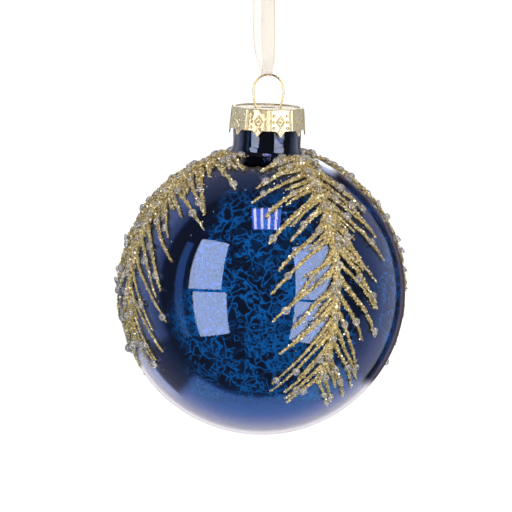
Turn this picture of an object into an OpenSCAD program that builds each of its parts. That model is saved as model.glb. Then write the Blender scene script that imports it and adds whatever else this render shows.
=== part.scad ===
// Glass ball ornament: a blown glass ball with a crackled coating inside, four
// glitter fir sprigs set with glass seed beads, a pressed cap, a sprung wire
// hanger and a tied organza ribbon. Millimetres, +Z up. The origin is the point
// that the ribbon hangs from, under its knot, and the ball's centre is below it.

/* [Ball] */
// Outer diameter of the glass ball
ball_d = 80; // [76:1:100]
// Thickness of the glass
glass_wall = 0.8; // [0.6:0.1:1]
// Thickness of the crackled coating inside the glass
coating_t = 0.15; // [0.1:0.05:0.2]
// Outer diameter of the neck
neck_d = 18.8; // [18.6:0.1:20]
// Height of the neck's lip above the top of the sphere
neck_rise = 11; // [10:0.5:13]
// Radius of the fillet between the neck and the sphere
neck_fillet = 3; // [2:0.5:4]

/* [Cap] */
// Thickness of the cap's pressed sheet
sheet_t = 0.3; // [0.2:0.05:0.4]
// Height of the skirt, without its points
skirt_h = 5.6; // [5:0.2:6.4]
// Outward lean of the skirt, in degrees
skirt_flare = 5; // [3:1:7]
// Length of the point under each panel
point_h = 1.7; // [1:0.1:2.2]
// Width of each point where it meets the panel
point_w = 2.6; // [2:0.1:3.2]

/* [Hanger] */
// Diameter of the hanger's wire
wire_d = 0.6; // [0.5:0.05:0.7]
// Width of the ring, centre to centre of the wire
ring_w = 8.3; // [8:0.1:8.6]
// Length of each sprung leg below the cap
leg_l = 13; // [10:0.5:13.5]
// Outward lean of the legs, in degrees
leg_lean = 18; // [14:1:18]

/* [Ribbon] */
// Width of the ribbon
ribbon_w = 6; // [5:0.5:8]
// Height of the ribbon's loop, from the ring to the knot
loop_h = 50; // [45:1:60]
// Length of each tail above the knot
tail_l = 9; // [6:1:12]

/* [Sprigs] */
// Width of a needle's glitter stroke
needle_w = 1.1; // [0.9:0.1:1.2]
// Width of the stem's glitter stroke
stem_w = 1.8; // [1.6:0.1:2]
// Outer diameter of a seed bead
bead_d = 2.2; // [2:0.1:2.4]

/* [Hidden] */

round_fn = 256;
ball_r = ball_d / 2;
neck_r = neck_d / 2;
wire_r = wire_d / 2;
ring_r = ring_w / 2;

// Heights above the ball's centre
neck_top = ball_r + neck_rise;
lip_gap = 0.05;
cap_under = neck_top + lip_gap;
cap_top = cap_under + sheet_t;
ring_z = cap_top + 5;
eye_top = ring_z + ring_r;
ball_z = -(eye_top + loop_h);

// Cap
panels = 10;
panel_turn = -69;
neck_clearance = 0.1;
cap_r = neck_r + neck_clearance + sheet_t;
panel_w = 2 * cap_r * tan(180 / panels);
panel_w_low = 2 * (cap_r + skirt_h * sin(skirt_flare)) * tan(180 / panels);
rim_w = 1;
rim_h = 0.35;
emboss_h = 0.12;
hole_r = 0.75;

// Hanger: the ring's upper half is round, and its sides close in on larger arcs
side_r = 14;
side_arc = asin((ring_z - cap_top) / side_r);
bend_r = 1.5;
leg_top = [ring_r - side_r + side_r * cos(side_arc), cap_top];
bend_centre = leg_top + bend_r * [cos(side_arc), -sin(side_arc)];
leg_start = bend_centre - bend_r * [cos(leg_lean), sin(leg_lean)];
hole_x = leg_top[0] - 0.05;
joint_r = wire_r + 0.02;
joint_gap = 0.05;

// Sprigs: azimuths run anticlockwise from +X, turns run from straight down the ball,
// headings from straight down the stem, and spans are angles along the stem. Pairs
// are for a stem's two sides, clockwise first, and the leading side's needles start first.
sprig_azimuths = [-46, -162, 124, 38];
sprig_turns = [-15, 9, 14, -14];
sprig_spans = [104, 90, 104, 98];
sprig_leads = [-1, 1, -1, 1];
headings_top = [[70, 52], [52, 80], [62, 60], [60, 60]];
headings_tip = [[28, 36], [34, 24], [30, 32], [30, 30]];
stem_start = 16;
needle_step = 6.2;
seat_gap = 0.02;
bead_seat = 0.15;
bead_hole_r = 0.3;
stem_bead_start = 2;
needle_gap = 0.06;
needle_lengths = [15, 20, 23, 22, 25, 17, 22, 24, 21, 25, 19, 23, 25, 21, 24, 19, 16, 13];
heading_shifts = [0, 1, -1, 1, 0, -1, 1, 0];
bead_places = [0.55, 0.3, 0.8, 0.45, 0.95, 0.6, 0.25, 0.75];

// Ribbon
ribbon_t = 0.3;
bight_r = wire_r + 0.45;
strand_bulge = 2.4;
strand_r = (pow(loop_h / 2, 2) + pow(strand_bulge, 2)) / (2 * strand_bulge);
bight_w = 2.4;
neck_in_w = 3;
gather_h = 11;
knot_r = 2;
knot_h = 3.6;
tail_lean = 26;

// --- Glass ------------------------------------------------------------------

// Outline of the ball with its neck: a sphere, a tube and the fillet between them
module ball_outline(r, tube_r, fillet_r, top) {
    fillet_x = tube_r + fillet_r;
    fillet_z = sqrt(pow(r + fillet_r, 2) - pow(fillet_x, 2));
    intersection() {
        circle(r, $fn = round_fn);
        translate([0, -r]) square([r, 2 * r]);
    }
    square([tube_r, top]);
    difference() {
        polygon([[0, 0], [fillet_x, fillet_z], [0, fillet_z]]);
        translate([fillet_x, fillet_z]) circle(fillet_r, $fn = round_fn);
    }
}

// A shell of the ball's shape, between two depths under its outer surface
module ball_shell(outer_depth, inner_depth) {
    rotate_extrude($fn = round_fn)
        difference() {
            ball_outline(ball_r - outer_depth, neck_r - outer_depth, neck_fillet + outer_depth,
                neck_top);
            ball_outline(ball_r - inner_depth, neck_r - inner_depth, neck_fillet + inner_depth,
                neck_top + 1);
        }
}

module glass_ball() {
    color("midnightblue") translate([0, 0, ball_z]) ball_shell(0, glass_wall);
}

module crackle_coating() {
    color("royalblue") translate([0, 0, ball_z]) ball_shell(glass_wall, glass_wall + coating_t);
}

// --- Cap --------------------------------------------------------------------

// One flat panel of the skirt, with its point, hanging from the origin's edge
module panel() {
    linear_extrude(sheet_t)
        polygon([
            [-panel_w / 2, 0], [-panel_w_low / 2, -skirt_h], [-point_w / 2, -skirt_h],
            [0, -skirt_h - point_h],
            [point_w / 2, -skirt_h], [panel_w_low / 2, -skirt_h], [panel_w / 2, 0],
        ]);
}

// Raised diamond with a dot above and below it on each side
module diamond() {
    linear_extrude(emboss_h) polygon([[-0.9, 0], [0, -1.4], [0.9, 0], [0, 1.4]]);
    for (x = [-1.5, 1.5], y = [-1.4, 1.4])
        translate([x, y]) linear_extrude(emboss_h) circle(0.35, $fn = 4);
}

module skirt() {
    for (i = [0 : panels - 1])
        rotate([0, 0, panel_turn + i * 360 / panels])
            translate([cap_r, 0, cap_top])
            rotate([0, -skirt_flare, 0])
            rotate([90, 0, 90]) {
                translate([0, 0, -sheet_t]) panel();
                translate([0, -skirt_h / 2 - 0.4, 0]) diamond();
            }
}

module cap() {
    color("palegoldenrod") translate([0, 0, ball_z])
        difference() {
            union() {
                translate([0, 0, cap_under]) cylinder(r = cap_r, h = sheet_t, $fn = round_fn);
                translate([0, 0, cap_top])
                    difference() {
                        cylinder(r = cap_r, h = rim_h, $fn = round_fn);
                        translate([0, 0, -1]) cylinder(r = cap_r - rim_w, h = 2, $fn = round_fn);
                    }
                skirt();
            }
            for (x = [-hole_x, hole_x])
                translate([x, 0, cap_under - 1]) cylinder(r = hole_r, h = 2, $fn = 32);
        }
}

// --- Hanger -----------------------------------------------------------------

// Arc of wire in the XZ plane, from one angle to another about a centre [x, z],
// stopping just short of the joints at its ends
module wire_arc(centre, r, from, to) {
    short = joint_gap / r * 180 / PI;
    translate([centre[0], 0, centre[1]]) rotate([90, 0, 0]) rotate([0, 0, from + short])
        rotate_extrude(angle = to - from - 2 * short, $fn = round_fn)
            translate([r, 0]) circle(wire_r, $fn = 24);
}

// Ball of metal that joins two lengths of the wire at a point [x, z]
module wire_joint(at) {
    translate([at[0], 0, at[1]]) sphere(joint_r, $fn = 48);
}

module leg() {
    wire_joint([ring_r, ring_z]);
    wire_arc([ring_r - side_r, ring_z], side_r, -side_arc, 0);
    wire_joint(leg_top);
    wire_arc(bend_centre, bend_r, 180 - side_arc, 180 + leg_lean);
    wire_joint(leg_start);
    translate([leg_start[0], 0, leg_start[1]]) rotate([0, 180 - leg_lean, 0])
        translate([0, 0, joint_gap]) cylinder(r = wire_r, h = leg_l - joint_gap, $fn = 24);
}

module wire_hanger() {
    color("goldenrod") translate([0, 0, ball_z]) {
        wire_arc([0, ring_z], ring_r, 0, 180);
        leg();
        mirror([1, 0, 0]) leg();
    }
}

// --- Ribbon -----------------------------------------------------------------

// The loop from its side: two bowed strands, and the bight under the ring's wire
module loop_profile() {
    for (side = [0, 1])
        mirror([side, 0])
            intersection() {
                translate([bight_r + strand_bulge - strand_r, -loop_h / 2])
                    difference() {
                        circle(strand_r + ribbon_t / 2, $fn = round_fn);
                        circle(strand_r - ribbon_t / 2, $fn = round_fn);
                    }
                translate([0, -loop_h]) square([bight_r + strand_bulge + ribbon_t, loop_h]);
            }
    translate([0, -loop_h])
        intersection() {
            difference() {
                circle(bight_r + ribbon_t / 2, $fn = 64);
                circle(bight_r - ribbon_t / 2, $fn = 64);
            }
            translate([-loop_h / 2, -loop_h]) square([loop_h, loop_h]);
        }
}

// The loop from its front: full width, drawn in at the ring and at the knot
module loop_outline() {
    low = -loop_h - bight_r - ribbon_t;
    polygon([
        [-neck_in_w / 2, 0], [-ribbon_w / 2, -gather_h], [-ribbon_w / 2, -loop_h + gather_h],
        [-bight_w / 2, -loop_h + 1], [-bight_w / 2, low], [bight_w / 2, low],
        [bight_w / 2, -loop_h + 1], [ribbon_w / 2, -loop_h + gather_h], [ribbon_w / 2, -gather_h],
        [neck_in_w / 2, 0],
    ]);
}

module ribbon_loop() {
    color("navajowhite")
        intersection() {
            rotate([90, 0, 90]) linear_extrude(ribbon_w + 2, center = true) loop_profile();
            rotate([90, 0, 0]) linear_extrude(loop_h, center = true) loop_outline();
        }
}

// A tail that widens up to its notched end
module tail() {
    translate([0, ribbon_t / 2, 0]) rotate([90, 0, 0])
        linear_extrude(ribbon_t)
            polygon([
                [-1, 0], [1, 0], [ribbon_w / 2, tail_l / 2], [ribbon_w / 2, tail_l],
                [0, tail_l - 2], [-ribbon_w / 2, tail_l], [-ribbon_w / 2, tail_l / 2],
            ]);
}

// The knot stands on the loop's ends, and its two tails fan out above it
module ribbon_knot() {
    color("wheat") {
        intersection() {
            translate([0, 0, knot_h / 2]) sphere(knot_r + 0.3, $fn = 64);
            cylinder(r = knot_r, h = knot_h, $fn = 64);
        }
        for (side = [-1, 1])
            translate([0, side * 0.5, knot_h - 1]) rotate([0, side * tail_lean, 0]) tail();
    }
}

// --- Sprigs -----------------------------------------------------------------

// Moves its children from the ball's pole to a place along a sprig's stem, turned to a heading
module on_stem(s, along, heading) {
    translate([0, 0, ball_z])
        rotate([0, 0, sprig_azimuths[s]]) rotate([0, stem_start, 0]) rotate([0, 0, sprig_turns[s]])
        rotate([0, along, 0]) rotate([0, 0, heading])
        children();
}

// A stroke of glitter along a great circle, between two distances from the pole
module stroke(from, to, w) {
    arc_start = from / ball_r * 180 / PI;
    arc_end = to / ball_r * 180 / PI;
    rotate([90, 0, 0]) rotate([0, 0, 90 - arc_end])
        rotate_extrude(angle = arc_end - arc_start, $fn = round_fn)
            difference() {
                translate([ball_r, 0]) circle(w / 2, $fn = 24);
                circle(ball_r + seat_gap, $fn = round_fn);
            }
}

function needle_count(s) = floor(sprig_spans[s] / needle_step) + 1;
function needle_place(s, i, side) = 1 + (i + (side == sprig_leads[s] ? 0 : 0.5)) * needle_step;
function needle_heading(s, i, side) =
    let(k = side < 0 ? 0 : 1, share = i / (needle_count(s) - 1))
    headings_top[s][k] * (1 - share) + headings_tip[s][k] * share
        + heading_shifts[i % len(heading_shifts)];
function needle_length(i, n) = needle_lengths[i + (i > n - 5 ? len(needle_lengths) - n : 0)];
function needle_start(heading) = (stem_w / 2 + needle_gap + needle_w / 2 * cos(heading)) / sin(heading);
function bead_share(i, side) = bead_places[(i + (side > 0 ? 3 : 0)) % len(bead_places)];

// A stem down the ball with a needle on each side at each step
module sprig(s) {
    n = needle_count(s);
    color("gold") {
        on_stem(s, 0, 0) stroke(0, sprig_spans[s] * PI / 180 * ball_r, stem_w);
        for (i = [0 : n - 1], side = [-1, 1])
            on_stem(s, needle_place(s, i, side), side * needle_heading(s, i, side))
                stroke(needle_start(needle_heading(s, i, side)), needle_length(i, n), needle_w);
    }
}

// A seed bead set into a stroke of glitter of width w, at a distance from the pole
module bead(distance, w) {
    tube_r = (bead_d / 2 - bead_hole_r) / 2;
    rotate([0, distance / ball_r * 180 / PI, 0])
        translate([0, 0, ball_r + w / 2 - bead_seat + tube_r])
        rotate_extrude($fn = 32) translate([bead_hole_r + tube_r, 0]) circle(tube_r, $fn = 24);
}

// A bead on each needle, and a row of them along the stem
module sprig_beads(s) {
    n = needle_count(s);
    color("aliceblue") {
        for (i = [0 : n - 1], side = [-1, 1])
            on_stem(s, needle_place(s, i, side), side * needle_heading(s, i, side))
                bead(needle_length(i, n) * bead_share(i, side), needle_w);
        for (i = [0 : n - 2])
            on_stem(s, stem_bead_start + i * needle_step, 0) bead(0, stem_w);
    }
}

glass_ball();
crackle_coating();
cap();
wire_hanger();
ribbon_loop();
ribbon_knot();
sprig(0);  // glitter_sprig_front
sprig(1);  // glitter_sprig_left
sprig(2);  // glitter_sprig_back
sprig(3);  // glitter_sprig_right
sprig_beads(0);  // seed_beads_front
sprig_beads(1);  // seed_beads_left
sprig_beads(2);  // seed_beads_back
sprig_beads(3);  // seed_beads_right
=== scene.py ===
import math

import bpy
import numpy as np
from mathutils import Matrix, Vector, geometry, noise


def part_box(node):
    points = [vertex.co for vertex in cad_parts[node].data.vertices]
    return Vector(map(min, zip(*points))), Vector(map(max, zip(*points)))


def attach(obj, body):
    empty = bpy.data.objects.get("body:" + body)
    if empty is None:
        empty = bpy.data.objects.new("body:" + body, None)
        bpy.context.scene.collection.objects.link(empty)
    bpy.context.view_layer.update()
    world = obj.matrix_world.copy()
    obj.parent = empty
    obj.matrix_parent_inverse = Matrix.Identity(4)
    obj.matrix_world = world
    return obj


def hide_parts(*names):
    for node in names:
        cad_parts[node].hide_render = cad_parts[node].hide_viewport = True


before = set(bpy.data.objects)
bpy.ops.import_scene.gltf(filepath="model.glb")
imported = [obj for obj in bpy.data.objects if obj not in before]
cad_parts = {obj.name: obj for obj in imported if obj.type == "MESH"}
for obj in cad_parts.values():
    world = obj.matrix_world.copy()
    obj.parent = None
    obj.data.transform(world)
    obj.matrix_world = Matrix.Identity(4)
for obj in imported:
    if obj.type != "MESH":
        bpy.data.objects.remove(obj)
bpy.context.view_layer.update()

MM = 0.001

# --- Sizes, from the frame ---

ball_low, ball_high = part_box("glass_ball")
cap_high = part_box("cap")[1]
ring_low, ring_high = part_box("wire_hanger")
loop_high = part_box("ribbon_loop")[1]
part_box("ribbon_knot")  # must exist

BALL_R = round((ball_high.x - ball_low.x) / 2, 4)
BALL_Z = ball_low.z + BALL_R
NECK_R = 9.4 * MM
NECK_FILLET = 3 * MM
NECK_TOP = ball_high.z
GLASS_WALL = 0.8 * MM
COATING_DEPTH = 0.84 * MM
COATING_T = 0.1 * MM
COATING_STOP = 0.3 * MM

CAP_RIM_H = 0.35 * MM
CAP_TOP = cap_high.z - CAP_RIM_H
CAP_R = 9.8 * MM
CAP_SHEET = 0.22 * MM
CAP_RIM_W = 1 * MM
CAP_PANELS = 10
CAP_TURN = math.radians(-69)
CAP_FLARE = math.radians(5)
SKIRT_H = 5.6 * MM
POINT_H = 1.7 * MM
POINT_HALF_W = 1.3 * MM

WIRE_R = 0.3 * MM
RING_R = 4.15 * MM
RING_TOP = ring_high.z - WIRE_R
RING_Z = RING_TOP - RING_R
SIDE_R = 14 * MM
BEND_R = 1.5 * MM
LEG_LEAN = math.radians(18)
LEG_END_Z = ring_low.z

# --- Sprigs' layout ---

# Angles are in degrees and lengths in mm. azimuth, turn and span place a stem on the ball. top and tip are the
# needles' headings off the stem at its two ends, clockwise side first, and the needles of the lead side start first.
# thin is how much the needles narrow down the stem, fill is how many small strokes follow each of the upper needles,
# and crown has the headings and lengths of the short strokes at the stem's start.
SPRIGS = {
    "front": {
        "azimuth": -46, "turn": -15, "span": 104, "lead": -1, "top": (70, 52), "tip": (28, 36),
        "thin": 0.3, "fill": 2, "crown": ((-102, 5), (-86, 7), (-70, 8), (72, 7), (90, 6), (104, 5)),
        "seed": 11,
    },
    "left": {
        "azimuth": -162, "turn": 9, "span": 90, "lead": 1, "top": (52, 78), "tip": (34, 24),
        "thin": 0.42, "fill": 4, "crown": ((-98, 5), (-75, 7), (58, 15), (70, 12), (84, 13), (98, 8)),
        "seed": 12,
    },
    "back": {
        "azimuth": 124, "turn": 14, "span": 104, "lead": -1, "top": (62, 60), "tip": (30, 32),
        "thin": 0.3, "fill": 2, "crown": ((-100, 6), (-80, 8), (70, 8), (88, 6), (104, 5)),
        "seed": 13,
    },
    "right": {
        "azimuth": 38, "turn": -14, "span": 98, "lead": 1, "top": (60, 60), "tip": (30, 30),
        "thin": 0.3, "fill": 2, "crown": ((-102, 5), (-84, 7), (74, 8), (92, 7)),
        "seed": 14,
    },
}
STEM_START = 16
NEEDLE_STEP = 6.2
NEEDLE_LENGTHS = [15, 20, 23, 22, 25, 17, 22, 24, 21, 25, 19, 23, 25, 21, 24, 19, 16, 13]
HEADING_SHIFTS = [0, 1, -1, 1, 0, -1, 1, 0]
BEAD_PLACES = [0.55, 0.3, 0.8, 0.45, 0.95, 0.6, 0.25, 0.75]
STEM_W = 2.6 * MM
NEEDLE_W = 1.25 * MM
BEAD_D = 2.2 * MM

# --- Camera ---

CAMERA_ELEVATION = math.radians(8)
CAMERA_ROLL = math.radians(2)
CAMERA_DISTANCE = 0.9
FIELD_WIDTH = 0.1426
SENSOR_WIDTH = 36
AIM_RIGHT = -1.53 * MM
AIM_UP = 9.8 * MM


def make_camera():
    """A long lens, a little above the ball's middle, with the ornament leaning a little to the right."""
    data = bpy.data.cameras.new("camera")
    data.sensor_width = SENSOR_WIDTH
    data.lens = SENSOR_WIDTH * CAMERA_DISTANCE / FIELD_WIDTH
    camera = add_object("camera", data)
    back = Vector((0, -math.cos(CAMERA_ELEVATION), math.sin(CAMERA_ELEVATION)))
    turn = (-back).to_track_quat("-Z", "Y").to_matrix() @ Matrix.Rotation(CAMERA_ROLL, 3, "Z")
    aim = Vector((0, 0, BALL_Z)) + turn @ Vector((AIM_RIGHT, AIM_UP, 0))
    camera.location = aim + back * CAMERA_DISTANCE
    camera.rotation_mode = "QUATERNION"
    camera.rotation_quaternion = turn.to_quaternion()
    bpy.context.scene.camera = camera


# --- Mesh and material helpers ---


def turned(axis, degrees):
    """A rotation about X, Y or Z."""
    return Matrix.Rotation(math.radians(degrees), 3, axis)


def add_object(name, data):
    """A new object in the scene."""
    obj = bpy.data.objects.new(name, data)
    bpy.context.scene.collection.objects.link(obj)
    return obj


def add_mesh(name, verts, faces, material, smooth=True):
    """A mesh object made from vertices and faces."""
    mesh = bpy.data.meshes.new(name)
    mesh.from_pydata([tuple(v) for v in verts], [], [tuple(f) for f in faces])
    mesh.validate()
    mesh.materials.append(material)
    mesh.polygons.foreach_set("use_smooth", [smooth] * len(mesh.polygons))
    return add_object(name, mesh)


def finish_piece(obj, body, slot, *nodes):
    """Rides a piece on its body and hides the CAD nodes it stands for. slot is not used."""
    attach(obj, body)
    if nodes:
        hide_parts(*nodes)
    return obj


def grid_faces(rows, columns, wrap):
    """Quads between the rows of a grid of points, joined round if wrap is set."""
    faces = []
    for r in range(rows - 1):
        low, high = r * columns, (r + 1) * columns
        for c in range(columns if wrap else columns - 1):
            after = (c + 1) % columns
            faces.append((low + c, low + after, high + after, high + c))
    return faces


ON_AXIS = 1e-7


def lathe(name, profile, segments, material):
    """A closed profile of (radius, z) turned about Z. Points on the axis become single vertices."""
    verts, rings, faces = [], [], []
    for r, z in profile:
        if r < ON_AXIS:
            rings.append([len(verts)])
            verts.append((0, 0, z))
        else:
            rings.append(list(range(len(verts), len(verts) + segments)))
            angles = [2 * math.pi * k / segments for k in range(segments)]
            verts += [(r * math.cos(a), r * math.sin(a), z) for a in angles]
    for low, high in zip(rings, rings[1:] + rings[:1], strict=True):
        for k in range(segments):
            a, b = low[k % len(low)], low[(k + 1) % len(low)]
            c, d = high[(k + 1) % len(high)], high[k % len(high)]
            face = list(dict.fromkeys([a, b, c, d]))
            if len(face) > 2:
                faces.append(face)
    return add_mesh(name, verts, faces, material)


class Shader:
    """Builds a node tree with short calls."""

    def __init__(self, owner):
        owner.use_nodes = True
        self.tree = owner.node_tree
        self.tree.nodes.clear()

    def node(self, kind, inputs=None, **settings):
        n = self.tree.nodes.new(kind)
        for key, value in settings.items():
            setattr(n, key, value)
        for key, value in (inputs or {}).items():
            self.feed(n.inputs[key], value)
        return n

    def feed(self, socket, value):
        if isinstance(value, bpy.types.NodeSocket):
            self.tree.links.new(value, socket)
        else:
            socket.default_value = value

    def math(self, operation, a, b=0.0, clamp=False):
        return self.node("ShaderNodeMath", {0: a, 1: b}, operation=operation, use_clamp=clamp).outputs[0]

    def times(self, a, b):
        return self.math("MULTIPLY", a, b)

    def mix(self, share, a, b):
        n = self.node("ShaderNodeMix", data_type="RGBA")
        self.feed(n.inputs[0], share)
        self.feed(n.inputs[6], a)
        self.feed(n.inputs[7], b)
        return n.outputs[2]

    def span(self, value, low, high, out_low=0.0, out_high=1.0):
        """Maps value from low..high to out_low..out_high, smoothly and clamped."""
        n = self.node("ShaderNodeMapRange", interpolation_type="SMOOTHSTEP")
        for key, v in zip(range(5), (value, low, high, out_low, out_high), strict=True):
            self.feed(n.inputs[key], v)
        return n.outputs[0]

    def ramp(self, value, stops):
        n = self.node("ShaderNodeValToRGB", {0: value})
        elements = n.color_ramp.elements
        while len(elements) < len(stops):
            elements.new(1.0)
        for element, (position, color) in zip(elements, stops, strict=True):
            element.position = position
            element.color = color if len(color) == 4 else (*color, 1)
        return n.outputs[0]

    def noise(self, vector, scale, detail, output=0):
        inputs = {"Vector": vector, "Scale": scale, "Detail": detail}
        return self.node("ShaderNodeTexNoise", inputs).outputs[output]

    def bump(self, height, strength, distance):
        inputs = {"Height": height, "Strength": strength, "Distance": distance}
        return self.node("ShaderNodeBump", inputs).outputs[0]

    def place(self):
        return self.node("ShaderNodeTexCoord").outputs["Object"]

    def principled(self, **inputs):
        """The surface, with its inputs named as in the shader but with _ for spaces."""
        n = self.node("ShaderNodeBsdfPrincipled", {k.replace("_", " "): v for k, v in inputs.items()})
        out = self.node("ShaderNodeOutputMaterial")
        self.tree.links.new(n.outputs[0], out.inputs[0])
        return n


def new_material(name):
    """A material and a shader to build it with."""
    material = bpy.data.materials.new(name)
    return material, Shader(material)


# --- Materials ---


def glass_material():
    """Thin blown glass, faintly blue, with the slight waves of blowing."""
    material, s = new_material("blue_glass")
    s.principled(
        Base_Color=(0.82, 0.90, 1.0, 1), Roughness=0.0, IOR=1.5, Transmission_Weight=1.0,
        Normal=s.bump(s.noise(s.place(), 60, 1.0), 0.06, 0.0004),
    )
    return material


# The crackle's zone on the ball: heights over its middle in metres, and the clearer bands down it
CRACKLE_BOTTOM = (-0.0275, -0.0235)
CRACKLE_TOP = (0.025, 0.036)
DARK_NECK = (0.0335, 0.0385)
CLEAR_BANDS = 4
CLEAR_TURN = math.radians(348)
CLEAR_WOBBLE = 0.5


def crackle_material():
    """A dark cobalt mirror with a web of bright cobalt cracks, and clearer bands down it."""
    material, s = new_material("crackle_coating")
    place = s.place()
    warped = place
    for scale, amount in ((210, 0.0075), (620, 0.0018)):
        warp = s.noise(place, scale, 2.0, output="Color")
        centred = s.node("ShaderNodeVectorMath", {0: warp, 1: (0.5, 0.5, 0.5)}, operation="SUBTRACT").outputs[0]
        shift = s.node("ShaderNodeVectorMath", {0: centred, "Scale": amount}, operation="SCALE").outputs[0]
        warped = s.node("ShaderNodeVectorMath", {0: warped, 1: shift}, operation="ADD").outputs[0]

    def web(scale, width):
        """Lines of a width round cells, and a glow about them."""
        cells = s.node("ShaderNodeTexVoronoi", {"Vector": warped, "Scale": scale}, feature="DISTANCE_TO_EDGE")
        crack = s.span(cells.outputs["Distance"], width * 0.35, width, 1.0, 0.0)
        glow = s.span(cells.outputs["Distance"], width * 0.7, width * 2.8, 0.45, 0.0)
        return s.math("MAXIMUM", crack, glow)

    def rings(scale, radius, width):
        """Small rings round the middles of half of the cells."""
        cells = s.node("ShaderNodeTexVoronoi", {"Vector": warped, "Scale": scale})
        off = s.math("ABSOLUTE", s.math("SUBTRACT", cells.outputs["Distance"], radius))
        some = s.node("ShaderNodeSeparateColor", {0: cells.outputs["Color"]}).outputs[0]
        return s.times(s.span(off, width * 0.3, width, 1.0, 0.0), s.span(some, 0.5, 0.55))

    patches = s.noise(place, 60, 2.0)
    thin = s.noise(place, 170, 2.0)
    coarse = s.times(web(330, 0.09), s.span(thin, 0.34, 0.5, 0.25, 1.0))
    fine = s.times(web(600, 0.11), s.span(patches, 0.44, 0.58))
    loops = s.times(rings(460, 0.3, 0.09), s.span(thin, 0.64, 0.46))
    lines = s.math("MAXIMUM", s.math("MAXIMUM", coarse, fine), loops)
    cloud = s.times(s.span(s.noise(place, 110, 3.0), 0.46, 0.7), 0.38)
    parts = s.node("ShaderNodeSeparateXYZ", {0: place})
    height = parts.outputs[2]
    around = s.math("ARCTAN2", parts.outputs[1], parts.outputs[0])
    drift = s.noise(place, 45, 2.0)
    wobble = s.span(drift, 0.3, 0.7, CLEAR_TURN - CLEAR_WOBBLE, CLEAR_TURN + CLEAR_WOBBLE)
    wave = s.math("COSINE", s.math("ADD", s.times(around, float(CLEAR_BANDS)), wobble))
    bottom, top, neck_span = ([BALL_Z + h for h in ends] for ends in (CRACKLE_BOTTOM, CRACKLE_TOP, DARK_NECK))
    zone = s.times(s.span(height, *bottom), s.span(wave, -0.9, -0.5, 0.06, 1.0))
    zone = s.times(zone, s.span(height, *top, 1.0, 0.04))
    cracks = s.times(s.math("MAXIMUM", lines, cloud, clamp=True), zone)
    cobalt = s.ramp(cracks, [(0.0, (0.002, 0.06, 0.25)), (0.4, (0.0, 0.045, 0.18)), (1.0, (0.0, 0.125, 0.47))])
    s.principled(
        Base_Color=s.mix(s.span(height, *neck_span), cobalt, (0.001, 0.018, 0.075, 1)),
        Metallic=s.span(cracks, 0.0, 0.7, 1.0, 0.18),
        Roughness=s.span(cracks, 0.0, 1.0, 0.03, 0.15),
        Specular_IOR_Level=0.0,
        Specular_Tint=(0.05, 0.12, 0.3, 1),
    )
    return material


def cap_material():
    """Pale gold sheet, bright, with a faint hammered texture."""
    material, s = new_material("cap_metal")
    place = s.place()
    tone = s.noise(place, 260, 3.0)
    dents = s.noise(place, 900, 3.0)
    waves = s.noise(place, 300, 1.0)
    s.principled(
        Base_Color=s.mix(tone, (0.70, 0.58, 0.36, 1), (0.93, 0.83, 0.61, 1)),
        Metallic=0.62,
        Roughness=s.span(tone, 0.3, 0.7, 0.14, 0.3),
        Normal=s.bump(s.math("ADD", s.times(waves, 5.0), dents), 0.6, 0.00012),
    )
    return material


def wire_material():
    """Drawn gold-coloured wire, with fine lines along its length."""
    material, s = new_material("wire_metal")
    place = s.place()
    tone = s.noise(place, 400, 3.0)
    s.principled(
        Base_Color=s.mix(tone, (0.84, 0.66, 0.30, 1), (0.98, 0.88, 0.58, 1)),
        Metallic=1.0,
        Roughness=s.span(tone, 0.3, 0.7, 0.18, 0.34),
        Normal=s.bump(s.noise(place, 2500, 2.0), 0.05, 0.00003),
    )
    return material


def glue_material():
    """Glue full of fine gold glitter, under the loose flakes, its grains painted from dark brown shade to bright gold
    sparkle.
    """
    material, s = new_material("glitter_glue")
    place = s.place()
    grain = s.node("ShaderNodeTexVoronoi", {"Vector": place, "Scale": 3600}).outputs["Color"]
    tone = s.node("ShaderNodeSeparateColor", {0: grain}).outputs[0]
    # Each grain's random tone is the glitter's gold with painted light on it: dark brown grains are painted shade,
    # the brightest painted sparkle highlights.
    stops = [(0.0, (0.12, 0.08, 0.02)), (0.35, (0.60, 0.46, 0.15)), (1.0, (1.0, 0.88, 0.48))]
    s.principled(
        Base_Color=s.ramp(tone, stops), Metallic=0.45, Roughness=0.5, Normal=s.bump(tone, 0.8, 0.0002),
    )
    return material


def flake_material():
    """Gold glitter flakes, each of its own tone: painted shade at the near-black end and painted sparkle highlights
    at the near-white end.
    """
    material, s = new_material("gold_glitter")
    tone = s.node("ShaderNodeNewGeometry").outputs["Random Per Island"]
    # Each flake's random tone is the glitter's gold with painted light on it: near-black flakes are painted shade,
    # near-white ones painted sparkle highlights.
    stops = [(0.0, (0.06, 0.04, 0.01)), (0.22, (0.48, 0.35, 0.11)), (0.42, (1.0, 0.86, 0.44)),
             (0.64, (1.0, 0.97, 0.75)), (1.0, (1.0, 1.0, 0.97))]
    s.principled(
        Base_Color=s.ramp(tone, stops),
        Metallic=s.span(tone, 0.65, 1.0, 0.15, 0.95),
        Roughness=s.span(tone, 0.0, 1.0, 0.45, 0.18),
    )
    return material


def bead_material():
    """Clear glass of a seed bead, a little cloudy."""
    material, s = new_material("clear_bead")
    cloud = s.noise(s.place(), 700, 2.0)
    s.principled(
        Base_Color=s.mix(cloud, (0.97, 0.96, 0.95, 1), (1.0, 1.0, 1.0, 1)),
        Roughness=s.span(cloud, 0.3, 0.7, 0.0, 0.03),
        IOR=1.5,
        Transmission_Weight=0.8,
    )
    return material


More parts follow.
